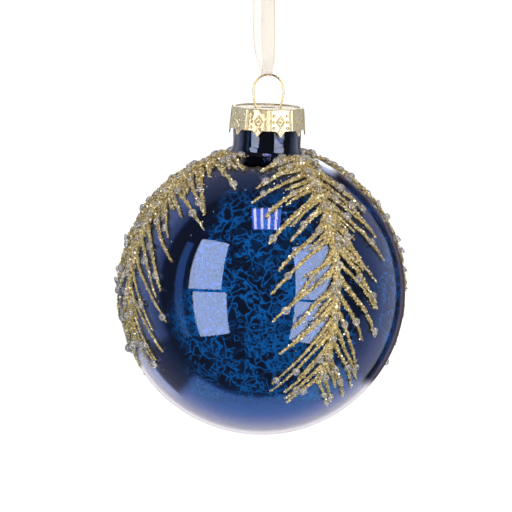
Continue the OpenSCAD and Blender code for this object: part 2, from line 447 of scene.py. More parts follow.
def organza_material():
    """Sheer cream organza: a fine open weave, closer along the two edges."""
    material, s = new_material("organza")
    uv = s.node("ShaderNodeUVMap").outputs[0]
    parts = s.node("ShaderNodeSeparateXYZ", {0: uv})
    across, along = parts.outputs[0], parts.outputs[1]
    edge = s.span(s.math("ABSOLUTE", s.math("SUBTRACT", across, 0.5)), 0.44, 0.49)
    warp_threads = s.math("ABSOLUTE", s.math("SINE", s.times(across, 96.0)))
    weft_threads = s.math("ABSOLUTE", s.math("SINE", s.times(along, 22.0)))
    weave = s.times(s.math("ADD", warp_threads, weft_threads), 0.5)
    cover = s.math("ADD", s.times(weave, 0.16), s.times(edge, 0.34))
    s.principled(
        Base_Color=s.mix(edge, (1.0, 0.90, 0.76, 1), (1.0, 0.82, 0.58, 1)),
        Roughness=0.5,
        Alpha=s.math("ADD", cover, 0.1, clamp=True),
        Sheen_Weight=0.4,
        Normal=s.bump(weave, 0.4, 0.00008),
    )
    return material


def floor_material():
    """Lit white floor with a very faint grain."""
    material, s = new_material("pale_floor")
    grain = s.noise(s.place(), 3, 3.0)
    s.principled(
        Base_Color=(0.9, 0.9, 0.9, 1), Roughness=0.9, Specular_IOR_Level=0.0, Emission_Strength=1.0,
        Emission_Color=s.mix(grain, (0.97, 0.97, 0.97, 1), (1.0, 1.0, 1.0, 1)),
    )
    return material


# --- Stage ---

FLOOR_Z = -1.4
FLOOR_R = 40
FLOOR_SIDES = 96


def make_floor():
    """A wide round floor, far enough down to look up at the ornament too."""
    angles = [2 * math.pi * k / FLOOR_SIDES for k in range(FLOOR_SIDES)]
    ring = [(FLOOR_R * math.cos(a), FLOOR_R * math.sin(a), FLOOR_Z) for a in angles]
    floor = add_mesh("floor", ring, [range(FLOOR_SIDES)], floor_material(), smooth=False)
    floor.visible_glossy = floor.visible_diffuse = floor.visible_transmission = False


# The studio's light: stops of (angle from straight ahead, brightness, tint), for each part of the way round. The
# parts start at angles anticlockwise from the right, as seen from the front. All angles are in degrees.
PLAIN, BLUSH = (1, 1, 1), (1.06, 0.97, 1.0)
SKY, AZURE, LILAC, VIOLET = (0.93, 1.05, 1.24), (0.95, 1.6, 2.3), (1.0, 1.05, 1.35), (1.15, 0.9, 1.1)
FRONT = [(0, 0.07, PLAIN), (88, 0.07, PLAIN)]
SIDE = [
    *FRONT, (92, 0.3, SKY), (106, 0.6, SKY), (125, 0.6, SKY), (136, 0.1, VIOLET), (156, 0.12, VIOLET),
    (166, 0.6, LILAC), (180, 0.95, PLAIN),
]
LOWER_LEFT = [
    *FRONT, (99, 0.14, SKY), (120, 0.24, PLAIN), (129, 0.3, PLAIN), (132, 1.25, LILAC), (150, 0.95, BLUSH),
    (180, 0.9, BLUSH),
]
BOTTOM = [
    *FRONT, (92, 0.1, AZURE), (96, 0.42, AZURE), (114, 0.47, AZURE), (134, 0.92, LILAC), (150, 0.95, BLUSH),
    (180, 0.9, BLUSH),
]
RIGHT = [
    *FRONT, (92, 0.22, SKY), (106, 0.32, SKY), (116, 0.46, SKY), (130, 0.48, SKY), (135, 0.48, LILAC),
    (138, 0.02, VIOLET), (147, 0.03, VIOLET), (153, 0.15, VIOLET), (161, 0.07, VIOLET), (171, 0.06, VIOLET),
    (180, 0.6, LILAC),
]
UPPER_RIGHT = [
    *FRONT, (92, 0.22, SKY), (106, 0.25, SKY), (116, 0.4, SKY), (133, 0.4, LILAC), (137, 0.03, VIOLET),
    (146, 0.03, VIOLET), (154, 0.13, VIOLET), (168, 0.1, VIOLET), (180, 0.5, LILAC),
]
TOP = [
    *FRONT, (92, 0.16, PLAIN), (123, 0.36, PLAIN), (130, 0.08, VIOLET), (136, 0.08, VIOLET), (142, 1.0, LILAC),
    (158, 1.5, PLAIN), (180, 1.1, PLAIN),
]
SURROUND = [
    (-180, SIDE), (-152, LOWER_LEFT), (-126, BOTTOM), (-40, RIGHT), (26, UPPER_RIGHT), (60, TOP), (126, SIDE),
]
SURROUND_BLEND = 3
STUDIO_TILT = Matrix.Rotation(-CAMERA_ELEVATION, 3, "X")
WORLD_STRENGTH = 4.0


def make_world():
    """Soft light from the room: dark in front, blue-grey at the sides, and white behind and below."""
    world = bpy.data.worlds.new("studio")
    bpy.context.scene.world = world
    s = Shader(world)
    direction = s.node("ShaderNodeTexCoord").outputs["Generated"]

    def along(axis):
        inputs = {0: direction, 1: STUDIO_TILT @ Vector(axis)}
        return s.node("ShaderNodeVectorMath", inputs, operation="DOT_PRODUCT").outputs["Value"]

    off_axis = s.math("DIVIDE", s.math("ARCCOSINE", along((0, -1, 0))), math.pi)
    round_axis = s.math("ARCTAN2", along((0, 0, 1)), along((1, 0, 0)))
    way = s.math("DIVIDE", round_axis, math.radians(1))
    room = None
    for start, stops in SURROUND:
        part = s.ramp(off_axis, [(a / 180, [v * c / WORLD_STRENGTH for c in tint]) for a, v, tint in stops])
        share = s.span(way, start - SURROUND_BLEND, start + SURROUND_BLEND)
        room = s.mix(share, room, part) if room else part
    seen = s.node("ShaderNodeLightPath").outputs["Is Camera Ray"]
    white = [1 / WORLD_STRENGTH] * 3
    color = s.mix(seen, room, (*white, 1))
    background = s.node("ShaderNodeBackground", {"Color": color, "Strength": WORLD_STRENGTH})
    out = s.node("ShaderNodeOutputWorld")
    s.tree.links.new(background.outputs[0], out.inputs[0])


def softbox(name, azimuth, elevation, width, height, radiance, distance=1.5):
    """A flat light facing the ball from an azimuth and elevation in degrees, with its sides' offsets in metres."""
    data = bpy.data.lights.new(name, "AREA")
    data.shape = "RECTANGLE"
    data.size, data.size_y = width[1] - width[0], height[1] - height[0]
    peak = max(radiance)
    data.color = [v / peak for v in radiance]
    data.energy = peak * math.pi * data.size * data.size_y
    light = add_object(name, data)
    turn = STUDIO_TILT @ turned("Z", azimuth) @ turned("X", -elevation)
    centre = turn @ Vector((sum(width) / 2, -distance, sum(height) / 2))
    light.location = centre + Vector((0, 0, BALL_Z))
    light.rotation_mode = "QUATERNION"
    light.rotation_quaternion = (turn @ turned("X", 90)).to_quaternion()
    light.visible_camera = False


SOFTBOX_COLOR = (3.75, 3.5, 3.05)
SIDE_LIGHT_COLOR = (0.16, 0.3, 0.48)
TOP_PANEL_COLOR = (0.7, 1.0, 2.4)
TOP_STRIP_COLOR = (8, 5.2, 3.2)
TOP_AZIMUTH, TOP_ELEVATION = 2, 60
TOP_STRIPS, TOP_STRIP_START, TOP_STRIP_STEP, TOP_STRIP_W = 4, -0.21, 0.125, 0.045


def make_lights():
    """Two tall double softboxes in front with a dim strip beside the left one, and a small striped panel above."""
    softbox("left_upper", -44, 0, (-0.41, 0.33), (0.015, 1.10), SOFTBOX_COLOR)
    softbox("left_lower", -44, 0, (-0.31, 0.45), (-1.00, -0.035), SOFTBOX_COLOR)
    softbox("right_upper", 44, 0, (-0.47, 0.46), (-0.12, 1.10), SOFTBOX_COLOR)
    softbox("right_lower", 44, 0, (-0.47, 0.46), (-1.12, -0.17), SOFTBOX_COLOR)
    softbox("left_strip", -69, 0, (-0.1, 0.1), (-0.95, 0.9), SIDE_LIGHT_COLOR)
    place = (TOP_AZIMUTH, TOP_ELEVATION)
    softbox("top_panel", *place, (-0.25, 0.28), (-0.26, 0.26), TOP_PANEL_COLOR, distance=1.55)
    for k in range(TOP_STRIPS):
        left = TOP_STRIP_START + TOP_STRIP_STEP * k
        softbox(f"top_strip_{k}", *place, (left, left + TOP_STRIP_W), (-0.25, 0.25), TOP_STRIP_COLOR)


# --- Glass ---


def ball_profile(depth, ball_points, fillet_points):
    """Half outline of the ball and neck at a depth under the surface, from the bottom pole to the lip."""
    r, tube = BALL_R - depth, NECK_R - depth
    fillet = NECK_FILLET + depth
    centre_x = tube + fillet
    centre_z = math.sqrt((r + fillet) ** 2 - centre_x**2)
    meet = math.atan2(centre_x, centre_z)
    profile = []
    for k in range(ball_points):
        a = math.pi - (math.pi - meet) * k / (ball_points - 1)
        profile.append((max(r * math.sin(a), 0), BALL_Z + r * math.cos(a)))
    profile[0] = (0, BALL_Z - r)
    for k in range(1, fillet_points):
        a = meet + (math.pi / 2 - meet) * k / (fillet_points - 1)
        profile.append((centre_x - fillet * math.sin(a), BALL_Z + centre_z - fillet * math.cos(a)))
    return profile


LATHE_SEGMENTS = 256
INNER_POINTS = (100, 12)
OUTER_POINTS = (120, 16)


def make_glass():
    """The blown shell, outside and inside, with a rounded lip."""
    outer = ball_profile(0, *OUTER_POINTS)
    inner = ball_profile(GLASS_WALL, *INNER_POINTS)
    lip_r = GLASS_WALL / 2
    lip = [
        (NECK_R - lip_r + lip_r * math.cos(a), NECK_TOP - lip_r + lip_r * math.sin(a))
        for a in [math.pi * k / 8 for k in range(9)]
    ]
    glass = lathe("glass_shell", outer + lip + inner[::-1], LATHE_SEGMENTS, glass_material())
    glass.visible_shadow = glass.visible_diffuse = False
    finish_piece(glass, "ball", "blue_glass", "glass_ball")


def make_coating():
    """The crackled lining, just inside the glass."""
    outer = ball_profile(COATING_DEPTH, *INNER_POINTS)
    inner = ball_profile(COATING_DEPTH + COATING_T, *INNER_POINTS)
    top = NECK_TOP - COATING_STOP
    lip = [(outer[-1][0], top), (inner[-1][0], top)]
    coating = lathe("crackle_lining", outer + lip + inner[::-1], LATHE_SEGMENTS, crackle_material())
    finish_piece(coating, "ball", "crackle_coating", "crackle_coating")


# --- Cap ---

PANEL_COLUMNS = 48
SKIRT_ROWS = 46

# The pattern pressed into a skirt panel, in mm. Each diamond has its middle's depth, half width, half height and line
# height.
DIAMONDS = ((3.1, 1.05, 1.5, 0.208), (6.1, 0.8, 1.3, 0.176))
DIAMOND_LINE = 0.28
DIAMOND_SWELL = 0.05
DOT_H = 0.2
MIDDLE_DOT = (3.1, 0.4)
SIDE_DOT_R = 0.45
SIDE_DOT_COLUMNS, SIDE_DOT_ROWS = (-1.9, 1.9), (1.4, 3.1, 4.7)
EDGE_RIB_IN, EDGE_RIB_H, EDGE_RIB_HALF_W = 0.42, 0.16, 0.24
CORNER_GROOVE_DEPTH, CORNER_GROOVE_HALF_W = 0.22, 0.16


def dot(x, y, radius):
    """A soft round bump of height 1 about the origin."""
    return max(0.0, 1 - (x * x + y * y) / (radius * radius))


def line(offset, half_w):
    """A soft line of height 1, with a place's offset from its middle."""
    return max(0.0, 1 - abs(offset) / half_w)


def relief(p, q, half_w):
    """Height in metres pressed into a skirt panel, at p across and q down in millimetres."""
    h = 0.0
    for centre, half_x, half_y, line_h in DIAMONDS:
        d = abs(p) / half_x + abs(q - centre) / half_y
        h += line_h * line(d - 1, DIAMOND_LINE) + DIAMOND_SWELL * max(0.0, 1 - d)
    h += DOT_H * dot(p, q - MIDDLE_DOT[0], MIDDLE_DOT[1])
    for x in SIDE_DOT_COLUMNS:
        for y in SIDE_DOT_ROWS:
            h += DOT_H * dot(p - x, q - y, SIDE_DOT_R)
    h += EDGE_RIB_H * line(abs(p) - (half_w - EDGE_RIB_IN), EDGE_RIB_HALF_W)
    h -= CORNER_GROOVE_DEPTH * line(abs(p) - half_w, CORNER_GROOVE_HALF_W)
    return h * MM


def skirt_point(column, q_share):
    """A point of the skirt's outside. The skirt reaches lower at the point under each panel."""
    panel, place = divmod(column, PANEL_COLUMNS)
    angle = 2 * math.pi / CAP_PANELS
    turn = (place + 0.5) / PANEL_COLUMNS - 0.5
    theta = turn * angle
    half_w = CAP_R * math.tan(angle / 2)
    p = CAP_R * math.tan(theta)
    q = q_share * (SKIRT_H + POINT_H * max(0.0, 1 - abs(p) / POINT_HALF_W))
    out = CAP_R + q * math.sin(CAP_FLARE) + relief(p / MM, q / MM, half_w / MM)
    p *= 1 + q * math.sin(CAP_FLARE) / CAP_R
    direction = CAP_TURN + panel * angle
    x = out * math.cos(direction) - p * math.sin(direction)
    y = out * math.sin(direction) + p * math.cos(direction)
    return x, y, CAP_TOP - q * math.cos(CAP_FLARE)


# The cap's top, in mm: a raised bridge between the wire's holes, and a groove in front of it
BRIDGE_H, BRIDGE_HALF_W, BRIDGE_HALF_L = 0.22, 0.55, 2.3
GROOVE_DEPTH, GROOVE_HALF_W, GROOVE_HALF_L = 0.2, 0.2, 2.5
GROOVE_Y = -0.75
BAR_END = 0.4
TOP_WAVE_H, TOP_WAVES = 0.05, 0.5

HOLE_R = 0.75 * MM
HOLE_X = 3.15 * MM
HOLE_SIDES = 28
TOP_STEP = 0.3 * MM
TOP_MARGIN = 0.35 * MM
ROW_STEP = 0.87


def bar(across, along, half_w, half_l):
    """A soft straight ridge of height 1, with ends that fade out."""
    return line(across, half_w) * max(0.0, min(1.0, (half_l - abs(along)) / BAR_END))


def top_height(x, y):
    """Height of the cap's flat top: a pressed bridge between the wire's holes, and shallow waves."""
    px, py = x / MM, y / MM
    bridge = bar(py, px, BRIDGE_HALF_W, BRIDGE_HALF_L)
    groove = bar(py - GROOVE_Y, px, GROOVE_HALF_W, GROOVE_HALF_L)
    wave = TOP_WAVE_H * noise.noise(Vector((px * TOP_WAVES, py * TOP_WAVES, 3.1)))
    return (BRIDGE_H * bridge - GROOVE_DEPTH * groove + wave) * MM


def off_holes(point):
    """Distance from a flat point to the middle of the nearer hole."""
    return min((point - Vector((x, 0))).length for x in (-HOLE_X, HOLE_X))


def cap_top(rim):
    """The flat top inside the rim, with two holes for the wire: vertices and triangles that reuse the rim's ring."""
    points = [Vector(v[:2]) for v in rim]
    loops = [list(range(len(points)))]
    angles = [2 * math.pi * k / HOLE_SIDES for k in range(HOLE_SIDES)]
    for x in (-HOLE_X, HOLE_X):
        start = len(points)
        points += [Vector((x + HOLE_R * math.cos(a), HOLE_R * math.sin(a))) for a in angles]
        loops.append(list(range(start, start + HOLE_SIDES))[::-1])
    inside = CAP_R - CAP_RIM_W - TOP_MARGIN
    n = int(inside / TOP_STEP) + 1
    for i in range(-n, n + 1):
        for j in range(-n, n + 1):
            v = Vector(((i + 0.5 * (j % 2)) * TOP_STEP, j * TOP_STEP * ROW_STEP))
            if v.length < inside and off_holes(v) > HOLE_R + TOP_STEP * 0.6:
                points.append(v)
    edges = [(a, b) for loop in loops for a, b in zip(loop, loop[1:] + loop[:1], strict=True)]
    verts, _, faces, origins, _, _ = geometry.delaunay_2d_cdt(points, edges, [], 0, 1e-7)
    source = [o[0] for o in origins]

    def solid(face):
        """Whether a triangle lies on the sheet, not in a hole or past the rim."""
        centre = sum((verts[k] for k in face), Vector((0, 0))) / len(face)
        return centre.length < CAP_R and off_holes(centre) > HOLE_R * 0.98

    def height(v):
        """The pressed height, which fades out at the rim."""
        return top_height(v.x, v.y) * min(1, max(0, (CAP_R - CAP_RIM_W - v.length) / MM * 2))

    flat = [(v.x, v.y, CAP_TOP + height(v)) for v in points]
    return flat, [[source[k] for k in face] for face in faces if solid(face)]


# The rim's rows: (distance outwards, height over the top), in mm
RIM_ROWS = [(-0.05, 0.2), (-0.2, 0.33), (-0.5, 0.35), (-0.8, 0.33), (-0.95, 0.2), (-1.0, 0.0)]
RIM_BLEND = 1.6


def make_cap():
    """The pressed cap: a rimmed top with two holes, and ten flat panels with points, as one thick sheet."""
    columns = CAP_PANELS * PANEL_COLUMNS
    rows = [[skirt_point(c, r / (SKIRT_ROWS - 1)) for c in range(columns)] for r in range(SKIRT_ROWS)][::-1]
    edge = [Vector(v) for v in rows[-1]]
    for out, up in RIM_ROWS:
        row = []
        for v in edge:
            flat = Vector((v.x, v.y)).normalized()
            blend = min(1.0, -out * RIM_BLEND)
            r = Vector((v.x, v.y)).length * (1 - blend) + CAP_R * blend + out * MM
            row.append((flat.x * r, flat.y * r, CAP_TOP + up * MM))
        rows.append(row)
    verts = [v for row in rows for v in row]
    faces = grid_faces(len(rows), columns, wrap=True)
    rim = rows[-1]
    start = len(verts) - columns
    flat, triangles = cap_top(rim)
    verts += flat[columns:]
    faces += [[start + k for k in t] for t in triangles]
    cap = add_mesh("pressed_cap", verts, faces, cap_material())
    shell = cap.modifiers.new("sheet", "SOLIDIFY")
    shell.thickness = CAP_SHEET
    shell.offset = -1
    finish_piece(cap, "cap", "cap_metal", "cap")


# --- Hanger ---

LEG_POINTS, BEND_POINTS, SIDE_POINTS, RING_POINTS = 12, 10, 14, 28
WIRE_SIDES = 16


def arc_points(centre, r, start, end, count):
    """Points on an arc in the XZ plane."""
    angles = [start + (end - start) * k / (count - 1) for k in range(count)]
    return [Vector((centre[0] + r * math.cos(a), 0, centre[1] + r * math.sin(a))) for a in angles]


def hanger_path():
    """The wire's middle line, from one leg's end over the ring to the other's."""
    side_arc = math.asin((RING_Z - CAP_TOP) / SIDE_R)
    hole = (RING_R - SIDE_R + SIDE_R * math.cos(side_arc), CAP_TOP)
    bend = (hole[0] + BEND_R * math.cos(side_arc), hole[1] - BEND_R * math.sin(side_arc))
    leg_top = Vector((bend[0] - BEND_R * math.cos(LEG_LEAN), 0, bend[1] - BEND_R * math.sin(LEG_LEAN)))
    leg_l = (leg_top.z - LEG_END_Z) / math.cos(LEG_LEAN)
    leg_end = leg_top + Vector((math.sin(LEG_LEAN), 0, -math.cos(LEG_LEAN))) * leg_l
    half = [leg_end.lerp(leg_top, k / LEG_POINTS) for k in range(LEG_POINTS)]
    half += arc_points(bend, BEND_R, math.pi + LEG_LEAN, math.pi - side_arc, BEND_POINTS)
    half += arc_points((RING_R - SIDE_R, RING_Z), SIDE_R, -side_arc, 0, SIDE_POINTS)[1:]
    half += arc_points((0, RING_Z), RING_R, 0, math.pi / 2, RING_POINTS)[1:]
    return half + [Vector((-v.x, 0, v.z)) for v in half[-2::-1]]


def tube(name, path, radius_at, sides, material):
    """A round tube along a path, closed at its ends. radius_at takes the share along the path."""
    rings, verts, faces = len(path), [], []
    normal = Vector((0, 1, 0))
    for i, point in enumerate(path):
        tangent = (path[min(i + 1, rings - 1)] - path[max(i - 1, 0)]).normalized()
        normal = (normal - tangent * normal.dot(tangent)).normalized()
        across = tangent.cross(normal)
        r = radius_at(i / (rings - 1))
        for k in range(sides):
            a = 2 * math.pi * k / sides
            verts.append(point + (normal * math.cos(a) + across * math.sin(a)) * r)
    faces = grid_faces(rings, sides, wrap=True)
    faces.append(range(sides)[::-1])
    faces.append(range((rings - 1) * sides, rings * sides))
    return add_mesh(name, verts, faces, material)


def make_hanger():
    """The wire: a ring, narrowed sides, bends at the cap's holes and two sprung legs."""
    wire = tube("hanger_wire", hanger_path(), lambda share: WIRE_R, WIRE_SIDES, wire_material())
    finish_piece(wire, "hanger", "wire", "wire_hanger")


# --- Ribbon ---

RIBBON_W = 6 * MM
RIBBON_T = 0.1 * MM

# Stations up each strand: height over the ring's top, x and y of the middle and width, in mm, and the turn from
# facing front, in degrees
FRONT_STRAND = [
    (0.3, -0.8, -0.75, 3.0, 0), (1.6, -0.4, -1.0, 3.2, 8), (4, -0.1, -1.4, 3.6, 25), (8, -0.3, -2.0, 4.8, 46),
    (14, -0.8, -2.7, 6.0, 54), (22, -1.1, -3.1, 6.0, 52), (31, -1.2, -2.9, 6.0, 40), (40, -0.9, -2.1, 5.8, 20),
    (47, -0.4, -1.2, 4.2, 8), (50, -0.1, -0.9, 3.0, 0),
]
BACK_STRAND = [
    (0.3, -0.8, 0.75, 3.0, 0), (1.6, -0.9, 1.0, 3.6, -4), (4, -1.1, 1.5, 4.9, -6), (8, -1.5, 2.0, 6.0, -6),
    (14, -1.9, 2.7, 6.0, -4), (22, -2.1, 3.1, 6.0, -2), (31, -2.0, 2.9, 6.0, 4), (40, -1.4, 2.1, 5.8, 6),
    (47, -0.6, 1.2, 4.2, 3), (50, -0.1, 0.9, 3.0, 0),
]
BIGHT_X = -0.8
BIGHT_R = 0.75
BIGHT_W = 3.0
BIGHT_Z = 0.3
BIGHT_STEPS = 12
STRAND_STATIONS = 70
RIBBON_COLUMNS = 25
PLEATS = 3
PLEAT_DEPTH = 0.5 * MM
RIPPLE = 0.12 * MM


def smooth_rows(rows, count):
    """Points spread evenly along rows of numbers, by a Catmull-Rom curve."""
    data = np.array(rows, float)
    padded = np.vstack([2 * data[0] - data[1], data, 2 * data[-1] - data[-2]])
    out = []
    for k in range(count):
        t = k / (count - 1) * (len(data) - 1)
        i = min(int(t), len(data) - 2)
        f = t - i
        a, b, c, d = padded[i : i + 4]
        out.append(0.5 * (2 * b + (c - a) * f + (2 * a - 5 * b + 4 * c - d) * f**2 + (3 * b - a - 3 * c + d) * f**3))
    return out


def ribbon_stations():
    """The ribbon's middle line from the knot, under the ring's wire and back: (point, width, turn)."""
    stations = []
    for h, x, y, w, turn in smooth_rows(FRONT_STRAND, STRAND_STATIONS)[::-1]:
        stations.append((Vector((x, y, h)), w, turn))
    for k in range(1, BIGHT_STEPS):
        a = math.pi * k / BIGHT_STEPS
        stations.append((Vector((BIGHT_X, -BIGHT_R * math.cos(a), BIGHT_Z - BIGHT_R * math.sin(a))), BIGHT_W, 0))
    for h, x, y, w, turn in smooth_rows(BACK_STRAND, STRAND_STATIONS):
        stations.append((Vector((x, y, h)), w, turn))
    return [(p * MM + Vector((0, 0, RING_TOP)), w * MM, math.radians(turn)) for p, w, turn in stations]


def ribbon_mesh(name, stations, material):
    """A thin flat strip along stations. Where it is drawn in, it folds into pleats of the same cloth width."""
    columns = RIBBON_COLUMNS
    front, back, uvs = [], [], []
    length = 0.0
    for i, (point, width, turn) in enumerate(stations):
        before, after = stations[max(i - 1, 0)][0], stations[min(i + 1, len(stations) - 1)][0]
        tangent = (after - before).normalized()
        length += (point - stations[max(i - 1, 0)][0]).length
        across = Vector((math.cos(turn), math.sin(turn), 0))
        across = (across - tangent * across.dot(tangent)).normalized()
        normal = across.cross(tangent)
        slack = math.sqrt(max(0.0, (RIBBON_W / width) ** 2 - 1))
        depth = min(PLEAT_DEPTH, slack * width / (4 * PLEATS))
        for c in range(columns):
            t = c / (columns - 1)
            ripple = RIPPLE * math.sin(t * 5 + length / MM * 0.35) * min(1, width / RIBBON_W)
            fold = depth * math.sin(2 * math.pi * PLEATS * t + 0.5) + ripple
            middle = point + across * width * (t - 0.5) + normal * fold
            front.append(middle + normal * RIBBON_T / 2)
            back.append(middle - normal * RIBBON_T / 2)
            uvs.append((t, length / MM))
    rows, count = len(stations), len(front)
    faces = grid_faces(rows, columns, wrap=False)
    faces += [tuple(count + k for k in f[::-1]) for f in faces]
    for r in range(rows - 1):
        for c in (0, columns - 1):
            a, b = r * columns + c, (r + 1) * columns + c
            side = (a, b, b + count, a + count)
            faces.append(side if c == 0 else side[::-1])
    for r in (0, rows - 1):
        for c in range(columns - 1):
            a, b = r * columns + c, r * columns + c + 1
            side = (a, a + count, b + count, b)
            faces.append(side[::-1] if r == 0 else side)
    ribbon = add_mesh(name, front + back, faces, material)
    layer = ribbon.data.uv_layers.new(name="UVMap")
    for loop in ribbon.data.loops:
        layer.data[loop.index].uv = uvs[loop.vertex_index % count]
    return ribbon


KNOT_X = -0.1 * MM
KNOT_UP = 1.9 * MM
KNOT_POINTS = 120
KNOT_STRAND_R, KNOT_STRAND_SWELL = 0.62, 0.1
KNOT_SIDES = 14
TAIL_STATIONS = 24


def make_knot(organza):
    """An overhand knot in the two ends, and its two tails."""
    centre = Vector((KNOT_X, 0, loop_high.z + KNOT_UP))
    path = []
    for k in range(KNOT_POINTS):
        t = 2 * math.pi * k / KNOT_POINTS
        x, y, z = math.sin(t) + 2 * math.sin(2 * t), math.cos(t) - 2 * math.cos(2 * t), -math.sin(3 * t)
        path.append(centre + Vector((x * 0.5, z * 0.55, y * 0.5)) * MM)
    path.append(path[0])

    def strand_radius(share):
        return (KNOT_STRAND_R + KNOT_STRAND_SWELL * math.sin(share * 90)) * MM

    knot = tube("ribbon_knot_body", path, strand_radius, KNOT_SIDES, organza)
    finish_piece(knot, "ribbon", "organza", "ribbon_knot")
    tails = []
    for side in (-1, 1):
        rows = []
        for k in range(TAIL_STATIONS):
            t = k / (TAIL_STATIONS - 1)
            point = centre + Vector((side * (0.4 + 4.2 * t), side * 0.5 + 0.5 * math.sin(3 * t), 0.8 + 8.6 * t)) * MM
            width = (2.0 + 3.6 * min(1, t * 1.8)) * MM
            rows.append((point, width, math.radians(side * 18 * t)))
        tail = ribbon_mesh(f"ribbon_tail_{'left' if side < 0 else 'right'}", rows, organza)
        finish_piece(tail, "ribbon", "organza")
        tails.append(tail)
    return [knot, *tails]


def make_ribbon():
    """The ribbon's loop, knot and tails."""
    organza = organza_material()
    stations = ribbon_stations()
    ribbon = ribbon_mesh("ribbon_strip", stations, organza)
    finish_piece(ribbon, "ribbon", "organza", "ribbon_loop")
    pieces = make_knot(organza)


# --- Sprigs ---


def stem_frame(sprig, along):
    """Turns the ball's pole to a place along a sprig's stem, with local X down the stem."""
    start = turned("Z", sprig["azimuth"]) @ turned("Y", STEM_START) @ turned("Z", sprig["turn"])
    return start @ turned("Y", along)


def walk(start, heading, length, bend, count, wobble=None):
    """Directions from the ball's centre, and headings, along a stroke that starts at a frame and slowly turns."""
    here = start @ turned("Z", heading)
    step = math.degrees(length / BALL_R) / (count - 1)
    points = []
    for k in range(count):
        points.append((here @ Vector((0, 0, 1)), here @ Vector((1, 0, 0))))
        sway = wobble[k] if wobble is not None else 0
        here = here @ turned("Y", step) @ turned("Z", bend / (count - 1) + sway)
    return points


STEM_POINTS = 90
NEEDLE_POINTS = 26
NEEDLE_SWAY = 2.2
NEEDLE_BEND = (-3, 9)
NEEDLE_TIP = (0.25, 0.6)


def needle(start, turn, length, width, rng):
    """A stroke that sets out at a turn from the stem, narrows from a thick root and tapers to its tip."""
    sway = rng.normal(0, NEEDLE_SWAY, NEEDLE_POINTS)
    side = 1 if turn > 0 else -1
    path = walk(start, turn, length, -side * rng.uniform(*NEEDLE_BEND), NEEDLE_POINTS, sway - sway.mean())
    tip = rng.uniform(*NEEDLE_TIP)
    shares = np.linspace(0, 1, NEEDLE_POINTS)
    widths = width * (1.45 - 0.6 * np.minimum(1, shares * 3)) * (1 - (1 - tip) * shares**2.5)
    return path, widths * rng.uniform(0.82, 1.18, NEEDLE_POINTS)


DENSE_SHARE = 0.4
SMALL_W = 0.75


def sprig_strokes(sprig, rng):
    """The stem, crown, needles and small side strokes of a sprig: each a path, its widths and what it is."""
    count = int(sprig["span"] / NEEDLE_STEP) + 1
    stem = walk(stem_frame(sprig, 0), 0, math.radians(sprig["span"]) * BALL_R, 0, STEM_POINTS)
    fade = np.linspace(1.1, 0.6, STEM_POINTS)
    strokes = [(stem, STEM_W * fade * rng.uniform(0.85, 1.15, STEM_POINTS), "stem")]
    for turn, length in sprig["crown"]:
        start = stem_frame(sprig, rng.uniform(0.5, 2.5))
        path, widths = needle(start, turn + rng.uniform(-5, 5), length * MM, NEEDLE_W, rng)
        strokes.append((path, widths, "crown"))
    for i in range(count):
        share = i / (count - 1)
        length = NEEDLE_LENGTHS[i + (len(NEEDLE_LENGTHS) - count if i > count - 5 else 0)] * MM
        for k, side in enumerate((-1, 1)):
            heading = sprig["top"][k] * (1 - share) + sprig["tip"][k] * share + HEADING_SHIFTS[i % 8]
            along = 1 + (i + (0 if side == sprig["lead"] else 0.5)) * NEEDLE_STEP
            turn = side * (heading + rng.uniform(-5, 5))
            reach = length * rng.uniform(0.9, 1.03)
            width = NEEDLE_W * (1.05 - sprig["thin"] * share) * rng.uniform(0.8, 1.15)
            path, widths = needle(stem_frame(sprig, along), turn, reach, width, rng)
            strokes.append((path, widths, (i, side)))
            small = sprig["fill"] if share < DENSE_SHARE else int(rng.integers(0, 2))
            for start in rng.uniform(0.2, 0.8, small):
                between = stem_frame(sprig, along + NEEDLE_STEP * start)
                turn = side * (heading + rng.uniform(-14, 8))
                path, widths = needle(between, turn, length * rng.uniform(0.25, 0.6), NEEDLE_W * SMALL_W, rng)
                strokes.append((path, widths, "small"))
    return strokes


STROKE_COLUMNS = 9
GLUE_LUMP = 0.12


def stroke_surface(path, widths):
    """The domed top of a stroke, as an array of points and of outward normals: rows along, columns across."""
    columns = STROKE_COLUMNS
    points, normals = [], []
    last = len(path) - 1
    for k, ((up, forward), width) in enumerate(zip(path, widths, strict=True)):
        end = min(k, last - k)
        cap = math.sqrt(min(1.0, (end + 0.15) / 1.6))
        across = up.cross(forward)
        for c in range(columns):
            a = math.pi * c / (columns - 1)
            side, rise = math.cos(a), math.sin(a)
            half = width / 2 * cap
            points.append(up * (BALL_R + 0.02 * MM + half * rise * 0.95) + across * side * half)
            normals.append((up * rise + across * side * 0.9).normalized())
    rows = len(path)
    return np.array(points).reshape(rows, columns, 3), np.array(normals).reshape(rows, columns, 3)


def add_glue(name, strokes, material, rng):
    """The lumpy glue lines of a sprig, each a closed dome on the glass."""
    verts, faces = [], []
    for path, widths, _ in strokes:
        points, normals = stroke_surface(path, widths)
        rows, columns, _ = points.shape
        lumps = rng.uniform(-GLUE_LUMP, GLUE_LUMP, (rows, columns, 1)) * MM
        lumps[:, [0, -1]] = 0
        points = points + normals * lumps
        start = len(verts)
        verts += [Vector(p) + Vector((0, 0, BALL_Z)) for p in points.reshape(-1, 3)]
        faces += [tuple(start + k for k in f) for f in grid_faces(rows, columns, wrap=True)]
        faces.append(tuple(start + k for k in range(columns)))
        faces.append(tuple(start + (rows - 1) * columns + k for k in range(columns))[::-1])
    return add_mesh(name, verts, faces, material)


